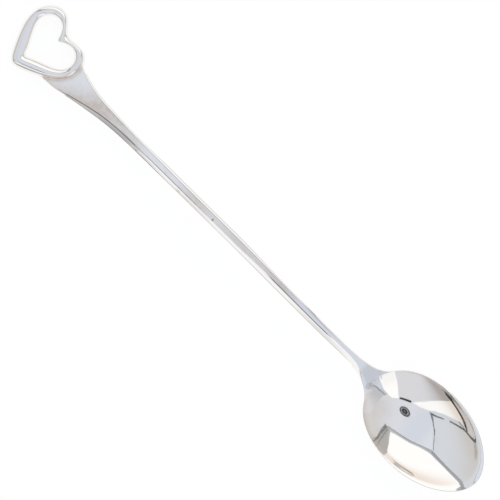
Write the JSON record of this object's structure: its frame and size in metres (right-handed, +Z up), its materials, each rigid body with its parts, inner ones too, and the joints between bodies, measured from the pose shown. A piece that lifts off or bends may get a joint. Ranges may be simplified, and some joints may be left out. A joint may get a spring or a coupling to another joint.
{
  "type": "baby spoon",
  "caption": "Long-handled infant feeding spoon in polished silver: oval bowl, slender stem with an off-centre ridge, and an open heart loop at the handle's end.",
  "frame": {"origin": "on the table, under the middle of the spoon's box, with the spoon lying on its back", "axes": "+X along the spoon from the loop's end to the bowl's tip, +Z up out of the bowl's mouth, +Y to the side that the heart's cleft faces"},
  "size_m": [0.146, 0.0212, 0.0084],
  "materials": {
    "polished_silver": "mirror-polished sterling silver with fine handling scratches",
    "hard_solder": "silver hard solder, slightly duller and warmer than the silver"
  },
  "bodies": {
    "root": {"bowl": "polished_silver", "stem": "polished_silver", "heart_loop": "polished_silver", "bowl_solder_seam": "hard_solder", "loop_solder_seam": "hard_solder"}
  },
  "joints": []
}
